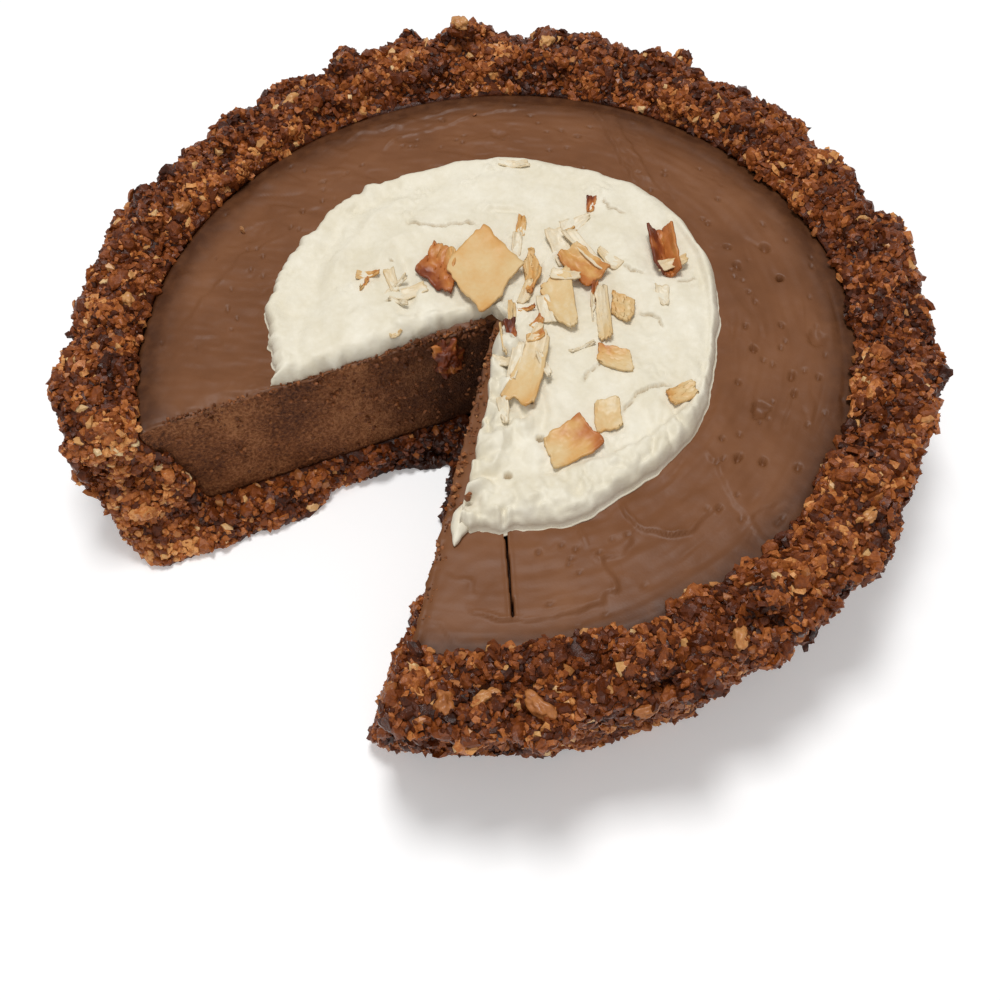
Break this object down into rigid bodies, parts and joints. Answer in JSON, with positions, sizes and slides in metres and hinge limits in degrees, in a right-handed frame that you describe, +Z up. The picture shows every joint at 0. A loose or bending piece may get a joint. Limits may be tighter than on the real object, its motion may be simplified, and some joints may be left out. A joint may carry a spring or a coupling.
{
  "type": "cream pie",
  "caption": "Round no-bake cream pie with a crumbly nut crust, chocolate filling, spread cream and coconut flakes on top, and one slice cut out.",
  "frame": {"origin": "on the flat underside, at the middle of the round pie", "axes": "+Z up, -Y towards the missing slice, +X to the right as seen from that side"},
  "size_m": [0.2373, 0.2249, 0.0604],
  "materials": {
    "crust": "craggy pressed oat, nut and cocoa crumb",
    "filling": "satin set chocolate cream",
    "cream": "matte spread whipped coconut cream",
    "golden": "toasted coconut, golden",
    "toasted": "toasted coconut, dark at the edges",
    "pale": "lightly toasted coconut"
  },
  "bodies": {
    "root": {"crust": "crust", "filling": "filling", "cream": "cream", "coconut_flake_crumpled": "toasted", "coconut_flake_square": "golden", "coconut_flake_curl": "golden", "coconut_flake_twin": "golden", "coconut_flake_long": "pale", "coconut_flake_strip": "pale", "coconut_flake_ragged": "golden", "coconut_flake_spotted": "golden", "coconut_flake_outer": "golden", "coconut_flake_block": "golden", "coconut_flake_orange": "golden", "coconut_flake_rolled": "toasted", "coconut_flake_apex": "pale"}
  },
  "joints": []
}
